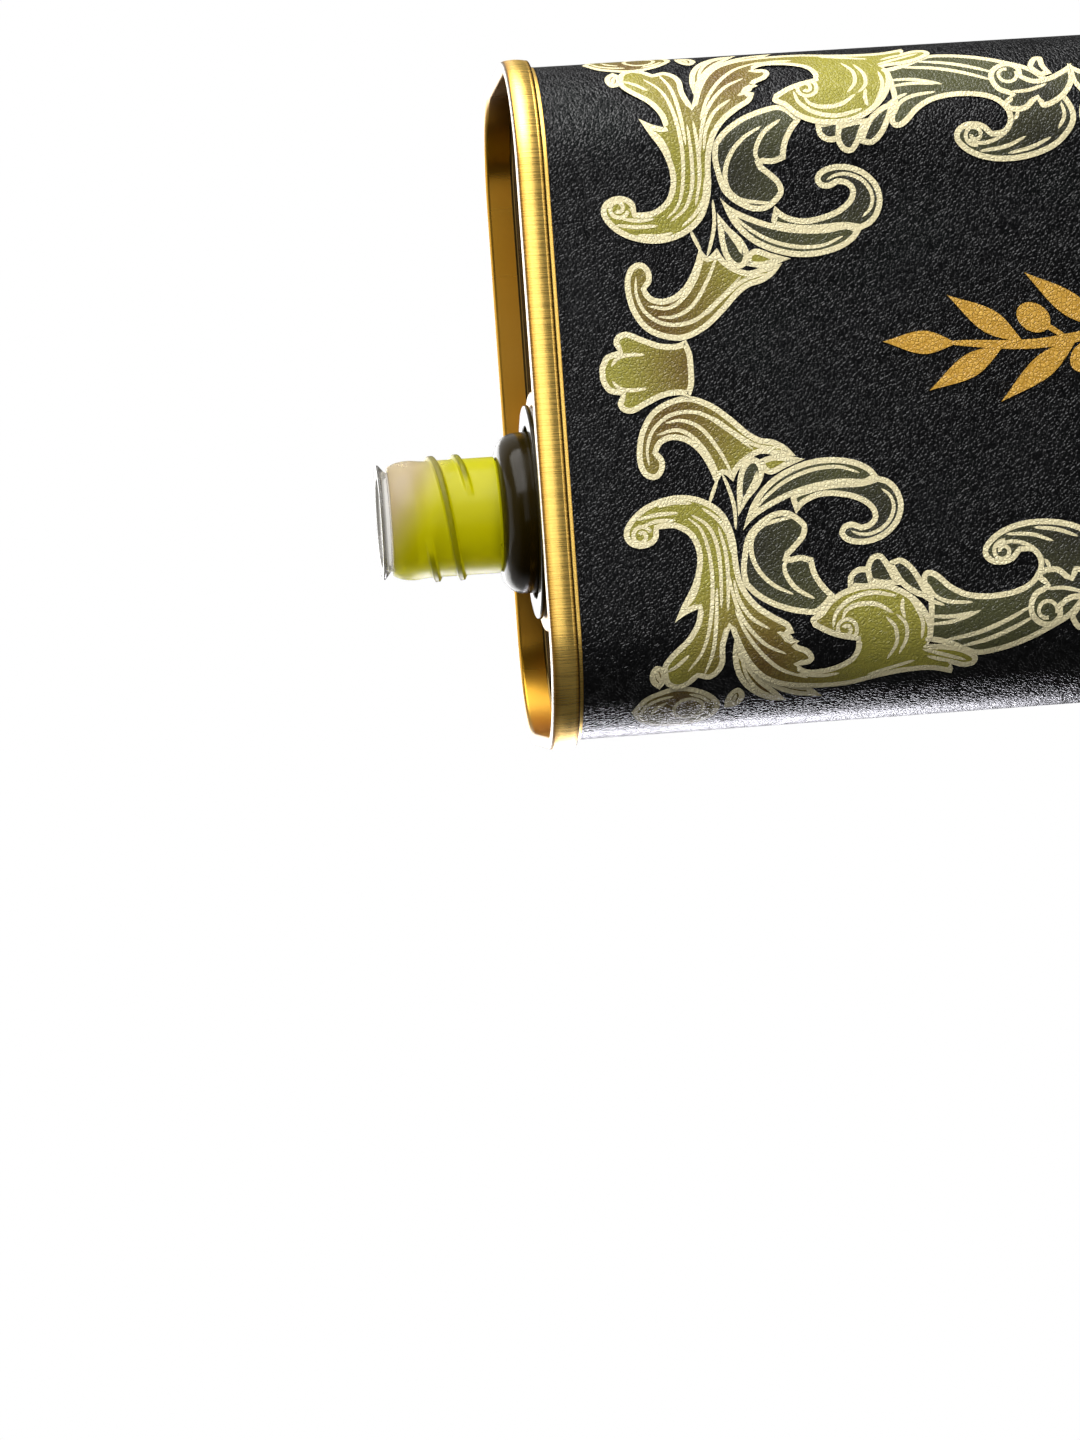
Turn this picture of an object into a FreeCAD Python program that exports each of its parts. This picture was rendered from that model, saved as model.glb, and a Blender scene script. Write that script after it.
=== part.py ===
# Olive oil tin of half a litre with a pull-up pouring spout.
# Millimetres. The origin is the middle of the base, +Z is up and the front face looks along -Y.
import FreeCAD, Part
import math
import os

Vector = FreeCAD.Vector
UP = Vector(0, 0, 1)
same_point = 1e-7           # points nearer than this are one point

# Tin
body_width = 86.0           # over the body wall, left to right
body_depth = 50.0           # over the body wall, front to back
tin_height = 135.0          # over both seams
corner_radius = 14.0        # upright edges, on the outside of the body wall

# Sheet and double seam
body_sheet = 0.25
end_sheet = 0.28
layer_gap = 0.10            # lacquer and play between the rolled layers
seam_height = 3.5
seam_bend = 0.22            # middle of the sheet, over the top of the seam
compound_height = 0.15      # sealing compound above the body hook
compound_clearance = 0.12   # compound to the seam's bends
body_hook_share = 0.75      # of the room inside the seam
cover_hook_share = 0.72     # of the room inside the seam

# Stamped ends
panel_depth = 3.9           # flat panel below the top of the seam
panel_margin = 1.6          # flat strip between the chuck wall and the panel plate
base_step_inset = 3.0       # stiffening step of the base, from the chuck wall
base_step_rise = 0.7
base_step_slope = 0.6

# Boss that carries the spout
spout_x = -13.2             # spout axis, left of the middle of the top
boss_radius = 15.5          # edge of the boss's flat top
boss_depth = 1.75           # flat top of the boss below the top of the seam
boss_slope = 0.8
boss_foot_margin = 0.7      # flat strip round the foot of the boss
hole_radius = 12.2
hole_lip = 1.4              # edge of the hole, turned down

# Snap-in collar and its seal
collar_radius = 14.0
collar_thickness = 0.60
sleeve_clearance = 0.15     # sleeve inside the hole
sleeve_wall = 0.75
snap_reach = 0.30           # snap below the hole's edge stands out beyond the hole by this much
snap_gap = 0.10
snap_length = 0.8
ledge_thickness = 0.8
hinge_depth = 6.5           # ledge that carries the diaphragm, below the top of the seam
seal_inner_radius = 12.6
seal_outer_radius = 13.6
seal_thickness = 0.35

# Rolling diaphragm
bell_radius = 10.55
bell_wall = 0.55
bead_height = 1.0
bead_clearance = 0.10       # bead inside the sleeve, bell inside the ledge
root_height = 3.5           # foot of the neck above the top of the seam
seat_clearance = 0.12       # diaphragm in the groove of the neck

# Pouring neck
neck_length = 14.1
root_radius = 7.60
root_length = 9.5           # straight length above the foot of the neck
bulge_radius = 7.85
bulge_drop = 2.6            # bulge below the upper end of the neck
crown_radius = 7.05         # upper end of the neck
bore_radius = 6.50
spigot_depth = 0.55         # groove for the diaphragm, into the root
spigot_flange_height = 0.8

# Ring in the mouth
ring_wall = 0.55
ring_clearance = 0.05
ring_depth = 3.1            # sleeve below the upper end of the neck
lip_overhang = 1.4          # mouth above the upper end of the neck
lip_radius = 7.45
lip_rise = 1.15             # height of the flared lip
lip_edge = 0.35             # upright edge of the lip

# Chords that a rounded bend is drawn with
seam_chords = 1
shoulder_chords = 3

# Layers of the double seam, as distances out from the outside of the body wall
chuck_wall_out = -body_sheet - layer_gap - end_sheet / 2
body_wall_out = -body_sheet / 2
cover_hook_out = layer_gap + end_sheet / 2
body_hook_out = cover_hook_out + end_sheet / 2 + layer_gap + body_sheet / 2
seaming_wall_out = body_hook_out + body_sheet / 2 + layer_gap + end_sheet / 2

# Heights inside the double seam, measured down from its top
body_top_drop = end_sheet + compound_height
seam_room = seam_height - 2 * end_sheet - compound_height
body_hook_drop = body_top_drop + body_hook_share * seam_room
cover_hook_drop = seam_height - end_sheet - cover_hook_share * seam_room

# Heights above the base
seam_top = tin_height - end_sheet / 2
panel_middle = tin_height - panel_depth - end_sheet / 2
boss_top = tin_height - boss_depth
collar_seat = boss_top + seal_thickness
hinge_height = tin_height - hinge_depth
root = tin_height + root_height
neck_top = root + neck_length

# Radii and edges that follow from what they fit
boss_foot_radius = boss_radius + boss_slope + boss_foot_margin
sleeve_radius = hole_radius - sleeve_clearance
sleeve_bore = sleeve_radius - sleeve_wall
ledge_radius = bell_radius + bead_clearance
spigot_radius = root_radius - spigot_depth
ring_outer_radius = bore_radius - ring_clearance
ring_inner_radius = ring_outer_radius - ring_wall


def unit(vector):
    return vector * (1 / vector.Length)


def left_of(direction):
    """The direction a quarter turn to the left, in the drawing plane X Z."""
    return Vector(-direction.z, 0, direction.x)


def bent(before, here, after, radius, chords):
    """Points of the arc that rounds a corner, from its first tangent point to its last."""
    towards = unit(before - here)
    away = unit(after - here)
    half_angle = towards.getAngle(away) / 2
    reach = radius / math.tan(half_angle)
    centre = here + unit(towards + away) * (radius / math.sin(half_angle))
    first = here + towards * reach - centre
    last = here + away * reach - centre
    turn = math.pi - 2 * half_angle
    angles = [turn * step / chords for step in range(chords + 1)]
    spokes = [first * math.sin(turn - angle) + last * math.sin(angle) for angle in angles]
    return [centre + spoke * (1 / math.sin(turn)) for spoke in spokes]


def beside(points, shift):
    """Points moved to the left of an open path, with mitred corners."""
    moved = []
    for index, here in enumerate(points):
        coming = unit(here - points[index - 1]) if index else unit(points[1] - here)
        going = unit(points[index + 1] - here) if index + 1 < len(points) else coming
        moved.append(here + (left_of(coming) + left_of(going)) * (shift / (1 + coming.dot(going))))
    return moved


def outline(points):
    """Closed face in the plane X Z from (out, height) points."""
    corners = [Vector(out, 0, height) for out, height in points]
    return Part.Face(Part.makePolygon(corners + corners[:1]))


def sheet_section(path, thickness, chords):
    """Section of a bent sheet from (out, height, bend radius) corners along the middle of the sheet."""
    corners = [Vector(out, 0, height) for out, height, _ in path]
    middle = []
    for index, (_, _, radius) in enumerate(path):
        here = corners[index]
        middle += bent(corners[index - 1], here, corners[index + 1], radius, chords) if radius else [here]
    around = beside(middle, thickness / 2) + beside(middle, -thickness / 2)[::-1]
    return Part.Face(Part.makePolygon(around + around[:1]))


def round_the_tin(section):
    """Carry a section, drawn outward from the body wall, round the tin's rounded rectangle."""
    middle = Vector(0, 0, 0)
    run_x = body_width / 2 - corner_radius
    run_y = body_depth / 2 - corner_radius
    right = section.translated(Vector(body_width / 2, 0, 0))
    right_run = right.extrude(Vector(0, run_y, 0))
    corner = right.translated(Vector(0, run_y, 0)).revolve(Vector(run_x, run_y, 0), UP, 90)
    back = section.rotated(middle, UP, 90).translated(Vector(0, body_depth / 2, 0))
    quarter = right_run.fuse([corner, back.extrude(Vector(run_x, 0, 0))])
    half = quarter.fuse(quarter.mirror(middle, Vector(1, 0, 0)))
    return half.fuse(half.mirror(middle, Vector(0, 1, 0))).removeSplitter()


def rounded_plate(out, middle):
    """Flat sheet with the tin's outline moved outward by a distance."""
    half_x = body_width / 2 + out
    half_y = body_depth / 2 + out
    low = middle - end_sheet / 2
    plate = Part.makeBox(2 * half_x, 2 * half_y, end_sheet, Vector(-half_x, -half_y, low))
    uprights = [edge for edge in plate.Edges if abs(edge.tangentAt(edge.FirstParameter).dot(UP)) == 1]
    return plate.makeFillet(corner_radius + out, uprights)


def about_spout(section):
    """Turn a section, drawn as (radius, height), about the spout's axis."""
    return section.revolve(Vector(0, 0, 0), UP, 360).translated(Vector(spout_x, 0, 0))


def upside_down(shape):
    """Turn a shape that is drawn at the top of the tin over to its base."""
    return shape.mirror(Vector(0, 0, tin_height / 2), UP)


def can_body():
    """Body wall with the hooks that its two edges are rolled into."""
    high = tin_height - body_top_drop - body_sheet / 2
    low = tin_height - high
    return round_the_tin(sheet_section([
        (body_hook_out, body_hook_drop, 0),
        (body_hook_out, low, 0),
        (body_wall_out, low, 0),
        (body_wall_out, high, 0),
        (body_hook_out, high, 0),
        (body_hook_out, tin_height - body_hook_drop, 0),
    ], body_sheet, seam_chords))


def end_rim(panel_path):
    """Rim of an end from its panel: chuck wall, seam top, seaming wall and cover hook."""
    seam_foot = tin_height - seam_height + end_sheet / 2
    return round_the_tin(sheet_section(panel_path + [
        (chuck_wall_out, panel_middle, 0),
        (chuck_wall_out, seam_top, seam_bend),
        (seaming_wall_out, seam_top, seam_bend),
        (seaming_wall_out, seam_foot, 0),
        (cover_hook_out, seam_foot, 0),
        (cover_hook_out, tin_height - cover_hook_drop, 0),
    ], end_sheet, seam_chords))


def boss():
    """Raised seat of the spout: foot, slope, flat top and the turned-down edge of the hole."""
    top_middle = boss_top - end_sheet / 2
    edge_radius = hole_radius + end_sheet / 2
    return about_spout(sheet_section([
        (boss_foot_radius, panel_middle, 0),
        (boss_radius + boss_slope, panel_middle, 0),
        (boss_radius, top_middle, 0),
        (edge_radius, top_middle, 0),
        (edge_radius, boss_top - hole_lip, 0),
    ], end_sheet, seam_chords))


def top_end():
    """Lid: rim, flat panel and the boss in the panel's round cut-out."""
    edge = chuck_wall_out - panel_margin
    low = panel_middle - end_sheet / 2
    cut_out = Part.makeCylinder(boss_foot_radius, end_sheet, Vector(spout_x, 0, low))
    panel = rounded_plate(edge, panel_middle).cut(cut_out)
    return end_rim([(edge, panel_middle, 0)]).fuse([panel, boss()]).removeSplitter()


def bottom_end():
    """Base: the same rim, with a stiffening step round its panel."""
    step_out = chuck_wall_out - base_step_inset
    step_middle = panel_middle - base_step_rise
    edge = step_out - base_step_slope - panel_margin
    rim = end_rim([
        (edge, step_middle, 0),
        (step_out - base_step_slope, step_middle, 0),
        (step_out, panel_middle, 0),
    ])
    return upside_down(rim.fuse(rounded_plate(edge, step_middle)).removeSplitter())


def top_seam_compound():
    """Compound between the top of the body hook and the inside of the seam."""
    left = chuck_wall_out + seam_bend + compound_clearance
    right = seaming_wall_out - seam_bend - compound_clearance
    low = tin_height - body_top_drop
    high = tin_height - end_sheet
    return round_the_tin(outline([(left, low), (right, low), (right, high), (left, high)]))


def spout_seal():
    """Flat gasket between the boss and the collar."""
    return about_spout(outline([
        (seal_inner_radius, boss_top),
        (seal_outer_radius, boss_top),
        (seal_outer_radius, collar_seat),
        (seal_inner_radius, collar_seat),
    ]))


def spout_collar():
    """Flange over the seal, sleeve through the hole, snap below its edge and ledge for the diaphragm."""
    flange_top = collar_seat + collar_thickness
    snap_top = boss_top - hole_lip - snap_gap
    ledge_low = hinge_height - ledge_thickness
    return about_spout(outline([
        (sleeve_bore, flange_top),
        (collar_radius, flange_top),
        (collar_radius, collar_seat),
        (sleeve_radius, collar_seat),
        (sleeve_radius, snap_top),
        (hole_radius + snap_reach, snap_top),
        (sleeve_radius, snap_top - snap_length),
        (sleeve_radius, ledge_low),
        (ledge_radius, ledge_low),
        (ledge_radius, hinge_height),
        (sleeve_bore, hinge_height),
    ]))


def spout_diaphragm():
    """Bell that stands on the ledge, with a bead at its foot and a hole for the neck at its crown."""
    wall_radius = bell_radius - bell_wall / 2
    crown = root - seat_clearance - bell_wall / 2
    bell = about_spout(sheet_section([
        (wall_radius, hinge_height, 0),
        (wall_radius, crown, bell_radius - root_radius - bell_wall / 2),
        (spigot_radius + seat_clearance, crown, 0),
    ], bell_wall, shoulder_chords))
    bead = about_spout(outline([
        (wall_radius, hinge_height),
        (sleeve_bore - bead_clearance, hinge_height),
        (sleeve_bore - bead_clearance, hinge_height + bead_height),
        (wall_radius, hinge_height + bead_height),
    ]))
    return bell.fuse(bead).removeSplitter()


def spout_neck():
    """Pouring neck: flanged spigot, straight root, bulge and drawn-in upper end round a plain bore."""
    groove_low = root - bell_wall - 2 * seat_clearance
    flange_low = groove_low - spigot_flange_height
    return about_spout(outline([
        (bore_radius, flange_low),
        (root_radius, flange_low),
        (root_radius, groove_low),
        (spigot_radius, groove_low),
        (spigot_radius, root),
        (root_radius, root),
        (root_radius, root + root_length),
        (bulge_radius, neck_top - bulge_drop),
        (crown_radius, neck_top),
        (bore_radius, neck_top),
    ]))


def pour_ring():
    """Sleeve in the mouth of the neck with a thin lip flared over its end."""
    foot = neck_top - ring_depth
    mouth = neck_top + lip_overhang
    return about_spout(outline([
        (ring_inner_radius, foot),
        (ring_outer_radius, foot),
        (ring_outer_radius, mouth - lip_rise),
        (lip_radius, mouth - lip_edge),
        (lip_radius, mouth),
        (ring_inner_radius, mouth),
    ]))


def main():
    os.makedirs("parts", exist_ok=True)
    compound = top_seam_compound()
    nodes = {
        "can_body": can_body(),
        "top_end": top_end(),
        "bottom_end": bottom_end(),
        "top_seam_compound": compound,
        "bottom_seam_compound": upside_down(compound),
        "spout_seal": spout_seal(),
        "spout_collar": spout_collar(),
        "spout_diaphragm": spout_diaphragm(),
        "spout_neck": spout_neck(),
        "pour_ring": pour_ring(),
    }
    for name, shape in nodes.items():
        shape.exportStep(os.path.join("parts", name + ".step"))


main()
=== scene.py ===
import math

import bmesh
import bpy
from mathutils import Matrix, Vector
from mathutils.geometry import delaunay_2d_cdt
from mathutils.kdtree import KDTree


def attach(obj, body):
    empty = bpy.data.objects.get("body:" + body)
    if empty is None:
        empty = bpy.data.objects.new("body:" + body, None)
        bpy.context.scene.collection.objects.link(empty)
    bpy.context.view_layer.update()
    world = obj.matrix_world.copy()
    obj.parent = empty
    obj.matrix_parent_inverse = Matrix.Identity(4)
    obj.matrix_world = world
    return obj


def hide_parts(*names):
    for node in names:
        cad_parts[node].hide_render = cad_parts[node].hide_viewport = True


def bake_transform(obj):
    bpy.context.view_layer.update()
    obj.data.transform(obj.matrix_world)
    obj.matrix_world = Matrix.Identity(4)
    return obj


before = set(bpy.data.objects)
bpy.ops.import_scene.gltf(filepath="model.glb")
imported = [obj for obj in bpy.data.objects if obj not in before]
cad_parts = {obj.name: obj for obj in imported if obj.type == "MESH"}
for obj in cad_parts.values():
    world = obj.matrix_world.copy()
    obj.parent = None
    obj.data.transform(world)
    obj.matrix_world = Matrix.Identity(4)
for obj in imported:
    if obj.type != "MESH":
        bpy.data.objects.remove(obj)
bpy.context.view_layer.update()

METRES = 0.001

# Tin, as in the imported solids
body_width = 86.0
body_depth = 50.0
tin_height = 135.0
corner_radius = 14.0
body_sheet = 0.25
end_sheet = 0.28
seam_height = 3.5
chuck_wall_out = -0.49
cover_hook_out = 0.24
body_hook_out = 0.605
seaming_wall_out = 0.97
body_top_drop = 0.43
body_hook_drop = 2.52
cover_hook_drop = 1.21
panel_depth = 3.9
panel_margin = 1.6
base_step_inset = 3.0
base_step_rise = 0.7
base_step_slope = 0.6

# Rounding of the rolled sheet
seam_bend = 0.42
seam_barrel = 0.10          # the seaming wall bulges by this much
seam_foot_step = 0.16       # roll line above the foot of the seam stands back by this much
seam_foot_height = 0.55
hook_bend = 0.16
panel_bend = 0.6
boss_bend = 0.5

# Boss and spout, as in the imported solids
spout_x = -13.2
boss_radius = 15.5
boss_depth = 1.75
boss_slope = 0.8
boss_foot_margin = 0.7
hole_radius = 12.2
hole_lip = 1.4
seal_thickness = 0.35
collar_radius = 14.0
collar_thickness = 0.60
sleeve_radius = 12.05
sleeve_bore = 11.3
snap_reach = 0.30
snap_gap = 0.10
snap_length = 0.8
ledge_radius = 10.65
ledge_thickness = 0.8
hinge_depth = 6.5
bell_radius = 10.55
bell_wall = 0.55
bead_height = 1.0
bead_radius = 11.2
root_height = 3.5
seat_clearance = 0.12
neck_length = 14.1
root_radius = 7.60
root_length = 9.5
bulge_radius = 7.85
bulge_drop = 2.6
crown_radius = 7.05
bore_radius = 6.50
spigot_radius = 7.05
spigot_flange_height = 0.8
ring_outer_radius = 6.45
ring_inner_radius = 5.90
ring_depth = 3.1
lip_overhang = 1.4
lip_radius = 7.45
lip_rise = 1.15
lip_edge = 0.35

# Rounding of the plastic's edges and of the neck, whose shoulder is a little fuller than in the solids
shoulder_radius = 7.55
shoulder_drop = 0.9
foot_edge = 0.05
snap_edge = 0.06
crisp_edge = 0.08
fine_edge = 0.10
groove_edge = 0.12
lip_tip_edge = 0.14
soft_edge = 0.15
round_edge = 0.20
mouth_edge = 0.25
flange_edge = 0.28
crown_edge = 0.30
lip_bend = 0.5
swell_bend = 8.0
bulge_bend = 6.0
shoulder_bend = 4.0

# Screw thread of the neck: two starts, each less than a turn
thread_lead = 6.5
thread_height = 0.62
thread_width = 1.25
thread_flank = 0.38
thread_top = 11.85          # above the seam where a start passes its own zero angle
thread_starts = (0.0, 180.0)    # degrees round the neck
thread_first = -70.0
thread_last = 251.0
thread_run_out = 38.0

# Looks of the surfaces
wall_share = 0.76           # of the panel's depth is smooth gold wall; the sheet is darker below, as painted shade in the recess
grain_depth = 0.072
grain_wander = 0.47         # the grooves of the grain stray by up to this much
groove_share = 0.22         # of a pebble's size, on each side of a groove
hairline_depth = 0.04
hairline_stretch = (8.0, 0.10, 1.0)     # round the band, across it
drawing_depth = 0.03
drawing_stretch = (1.0, 1.0, 0.15)
flow_depth = 0.2
flow_shares = (0.6, 1.4)    # of the plastic's roughness, along its flow marks
speckle_depth = 0.05
roughness_spread = 0.04
neck_fade = (139.5, 146.0)  # leaning heights between which the neck's tint fades
neck_lean_share = 0.6       # of the way across, added to a height
lip_shade_heights = (153.4, 153.7)   # heights between which the lip's edge gets darker, as painted shade
ridge_rises = (0.05, 0.3)   # above the neck, where the thread's tint gets deeper, partly as painted shade
ridge_tint_share = 0.36     # of the tint's brightness is left in the thread, darkened partly as painted shade
surround_share = 0.1        # of the surround's white that lights the tin

# Camera, fitted to the photograph's edges
camera_turn = (1.21, -4.83, -4.14)      # degrees about each axis
camera_shift = (131.1, -50.1, 533.9)

# How finely surfaces are divided
corner_steps = 24
long_side_steps = 44
short_side_steps = 20
turn_steps = 160
bend_steps = 6
row_height = 0.1            # of the rows that the thread stands on
barrel_shares = (0.0, 0.1, 0.25, 0.5, 0.75, 0.9, 1.0)    # rows up the seaming wall
lid_shares = (0.25, 0.5, 0.75)          # rows across the lid's panel, from seam to boss
base_shares = (0.75, 0.5, 0.25, 0.05)   # rows in towards the middle of the base
sharp_angle = 38.0          # degrees between faces that meet in a sharp edge

panel_middle = tin_height - panel_depth - end_sheet / 2
boss_top = tin_height - boss_depth
collar_seat = boss_top + seal_thickness
hinge = tin_height - hinge_depth
root = tin_height + root_height
neck_top = root + neck_length
flat_x = body_width / 2 - corner_radius
flat_y = body_depth / 2 - corner_radius
quarter = corner_radius * math.pi / 2
half_girth = 2 * (flat_x + flat_y + quarter)


# Outline of the tin

def girth_place(along):
    """Point and outward direction on the body wall, at a distance round from the middle of the front."""
    rest = (along + flat_x) % (2 * half_girth)
    out = Vector((0, -1))
    for length, x, y in ((2 * flat_x, flat_x, -flat_y), (2 * flat_y, flat_x, flat_y),
                         (2 * flat_x, -flat_x, flat_y), (2 * flat_y, -flat_x, -flat_y)):
        centre = Vector((x, y))
        ahead = Vector((-out.y, out.x))
        if rest <= length:
            return centre + ahead * (rest - length) + out * corner_radius, out
        rest -= length
        if rest <= quarter:
            angle = rest / corner_radius
            out = out * math.cos(angle) + ahead * math.sin(angle)
            return centre + out * corner_radius, out
        rest -= quarter
        out = ahead
    return Vector((-flat_x, -body_depth / 2)), out


def girth_stations():
    """Distances round the tin, from the middle of the back, close together at the corners."""
    half_round = [(flat_x, long_side_steps // 2), (quarter, corner_steps), (2 * flat_y, short_side_steps),
                  (quarter, corner_steps), (flat_x, long_side_steps // 2)]
    stations = []
    start = half_girth
    for length, steps in half_round * 2:
        stations += [start + length * step / steps for step in range(steps)]
        start += length
    return stations


STATIONS = girth_stations()
GIRTH = [girth_place(along) for along in STATIONS]


# Drawing in the plane of a section: (out, height) points

def bend_path(corners, closed=False):
    """Points through (out, height, bend radius) corners, with each bend drawn as an arc."""
    spots = [Vector(corner[:2]) for corner in corners]
    count = len(spots)
    points = []
    for index, (_, _, radius) in enumerate(corners):
        here = spots[index]
        inner = closed or 0 < index < count - 1
        if not radius or not inner:
            points.append(here)
            continue
        towards = (spots[index - 1] - here).normalized()
        away = (spots[(index + 1) % count] - here).normalized()
        half_angle = towards.angle(away) / 2
        reach = radius / math.tan(half_angle)
        centre = here + (towards + away).normalized() * (radius / math.sin(half_angle))
        first = here + towards * reach - centre
        last = here + away * reach - centre
        turn = math.pi - 2 * half_angle
        for step in range(bend_steps + 1):
            angle = turn * step / bend_steps
            spoke = first * math.sin(turn - angle) + last * math.sin(angle)
            points.append(centre + spoke / math.sin(turn))
    return points


def beside(points, shift):
    """Points moved to the left of an open path, with mitred corners."""
    moved = []
    for index, here in enumerate(points):
        coming = (here - points[index - 1]).normalized() if index else (points[1] - here).normalized()
        going = (points[index + 1] - here).normalized() if index + 1 < len(points) else coming
        left = Vector((-coming.y - going.y, coming.x + going.x))
        moved.append(here + left * (shift / (1 + coming.dot(going))))
    return moved


# Making meshes

def new_piece(name, points, faces, strips=None):
    """Object from points in millimetres; strips gives a (round, along) place for each point."""
    mesh = bpy.data.meshes.new(name)
    mesh.from_pydata([Vector(point) * METRES for point in points], [], faces)
    if strips:
        layer = mesh.uv_layers.new(name="strip")
        for polygon in mesh.polygons:
            round_places = [strips[vertex][0] for vertex in polygon.vertices]
            wraps = max(round_places) - min(round_places) > half_girth
            for loop in polygon.loop_indices:
                place, along = strips[mesh.loops[loop].vertex_index]
                place += 2 * half_girth if wraps and place < 2 * half_girth else 0
                layer.data[loop].uv = (place, along)
    mesh.validate()
    shape = bmesh.new()
    shape.from_mesh(mesh)
    bmesh.ops.recalc_face_normals(shape, faces=shape.faces)
    shape.to_mesh(mesh)
    shape.free()
    mesh.shade_smooth()
    mesh.set_sharp_from_angle(angle=math.radians(sharp_angle))
    piece = bpy.data.objects.new(name, mesh)
    bpy.context.scene.collection.objects.link(piece)
    return piece


def grid_piece(name, rows, closed=True, capped=False, rounds=None):
    """Piece from rows of points, each row closed on itself; closed joins the last row to the first."""
    count = len(rows[0])
    points = [point for row in rows for point in row]
    faces = []
    pairs = [(row, row + 1) for row in range(len(rows) - 1)]
    if closed:
        pairs.append((len(rows) - 1, 0))
    for low, high in pairs:
        for step in range(count):
            after = (step + 1) % count
            faces.append((low * count + step, low * count + after, high * count + after, high * count + step))
    if capped:
        faces.append(tuple(range(count)))
        faces.append(tuple((len(rows) - 1) * count + step for step in range(count)))
    strips = None
    if rounds:
        along = [0.0]
        for low, high in zip(rows, rows[1:]):
            along.append(along[-1] + (Vector(high[0]) - Vector(low[0])).length)
        strips = [(place, along[index]) for index in range(len(rows)) for place in rounds]
    return new_piece(name, points, faces, strips)


def rim_row(out, height):
    """Points round the tin at a distance outside the body wall."""
    return [(*(spot + outward * out), height) for spot, outward in GIRTH]


def spout_row(radius, height):
    """Points round the spout's axis."""
    angles = [2 * math.pi * step / turn_steps for step in range(turn_steps)]
    return [(spout_x + radius * math.cos(a), radius * math.sin(a), height) for a in angles]


def seam_path():
    """Middle of the end sheet from the cover hook over the seam to the chuck wall."""
    seam_top = tin_height - end_sheet / 2
    foot = tin_height - seam_height + end_sheet / 2
    step_out = seaming_wall_out - seam_foot_step
    wall_low = foot + seam_foot_height
    wall_high = seam_top - seam_bend
    barrel = []
    for share in barrel_shares:
        sag = seam_barrel * (2 * share - 1) ** 2
        barrel.append((seaming_wall_out - sag, wall_low + (wall_high - wall_low) * share, 0))
    return [
        (cover_hook_out, tin_height - cover_hook_drop, 0),
        (cover_hook_out, foot, hook_bend),
        (step_out, foot, hook_bend),
        (step_out, wall_low, 0),
    ] + barrel + [
        (seaming_wall_out - seam_barrel, seam_top, seam_bend),
        (chuck_wall_out, seam_top, seam_bend),
    ]


def tin_body():
    """Body wall with the hooks rolled at both of its edges."""
    high = tin_height - body_top_drop - body_sheet / 2
    low = tin_height - high
    wall = -body_sheet / 2
    middle = bend_path([
        (body_hook_out, body_hook_drop, 0),
        (body_hook_out, low, hook_bend),
        (wall, low, hook_bend),
        (wall, high, hook_bend),
        (body_hook_out, high, hook_bend),
        (body_hook_out, tin_height - body_hook_drop, 0),
    ])
    section = beside(middle, body_sheet / 2) + beside(middle, -body_sheet / 2)[::-1]
    rows = [rim_row(out, height) for out, height in section]
    return grid_piece("tin_body", rows, rounds=STATIONS)


def lid():
    """Lid: seam, chuck wall, panel and the boss with the turned-down edge of its hole."""
    edge = chuck_wall_out - panel_margin
    rim = bend_path(seam_path() + [(chuck_wall_out, panel_middle, panel_bend), (edge, panel_middle, 0)])
    boss_high = boss_top - end_sheet / 2
    turned_radius = hole_radius + end_sheet / 2
    foot_radius = boss_radius + boss_slope + boss_foot_margin
    boss = bend_path([
        (foot_radius, panel_middle, 0),
        (boss_radius + boss_slope, panel_middle, boss_bend),
        (boss_radius, boss_high, boss_bend),
        (turned_radius, boss_high, hook_bend),
        (turned_radius, boss_top - hole_lip, 0),
    ])
    bearings = []
    for spot, outward in GIRTH:
        reach = spot + outward * edge - Vector((spout_x, 0))
        bearings.append(reach.normalized())

    def boss_row(radius, height):
        return [(spout_x + b.x * radius, b.y * radius, height) for b in bearings]

    def side(shift):
        rows = [rim_row(out, height) for out, height in beside(rim, shift)]
        inner = [boss_row(radius, height) for radius, height in beside(boss, shift)]
        for share in lid_shares:
            pairs = zip(rows[len(rim) - 1], inner[0])
            rows.append([tuple(Vector(a).lerp(Vector(b), share)) for a, b in pairs])
        return rows + inner

    rows = side(end_sheet / 2) + side(-end_sheet / 2)[::-1]
    return grid_piece("lid", rows, rounds=STATIONS)


def base():
    """Base: the same seam turned over, with a stiffening step round its panel."""
    step_out = chuck_wall_out - base_step_inset
    step_middle = panel_middle - base_step_rise
    edge = step_out - base_step_slope - panel_margin
    rim = bend_path(seam_path() + [
        (chuck_wall_out, panel_middle, panel_bend),
        (step_out, panel_middle, hook_bend),
        (step_out - base_step_slope, step_middle, hook_bend),
        (edge, step_middle, 0),
    ])

    def side(shift):
        section = beside(rim, shift)
        rows = [rim_row(out, tin_height - height) for out, height in section]
        for share in base_shares:
            rows.append([(x * share, y * share, z) for x, y, z in rows[len(rim) - 1]])
        return rows

    rows = side(end_sheet / 2)[::-1] + side(-end_sheet / 2)
    return grid_piece("base", rows, closed=False, capped=True, rounds=STATIONS)


def turned(name, corners):
    """Piece turned about the spout's axis from a closed section of (radius, height, rounding) corners."""
    return grid_piece(name, [spout_row(radius, height) for radius, height in bend_path(corners, closed=True)])


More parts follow.
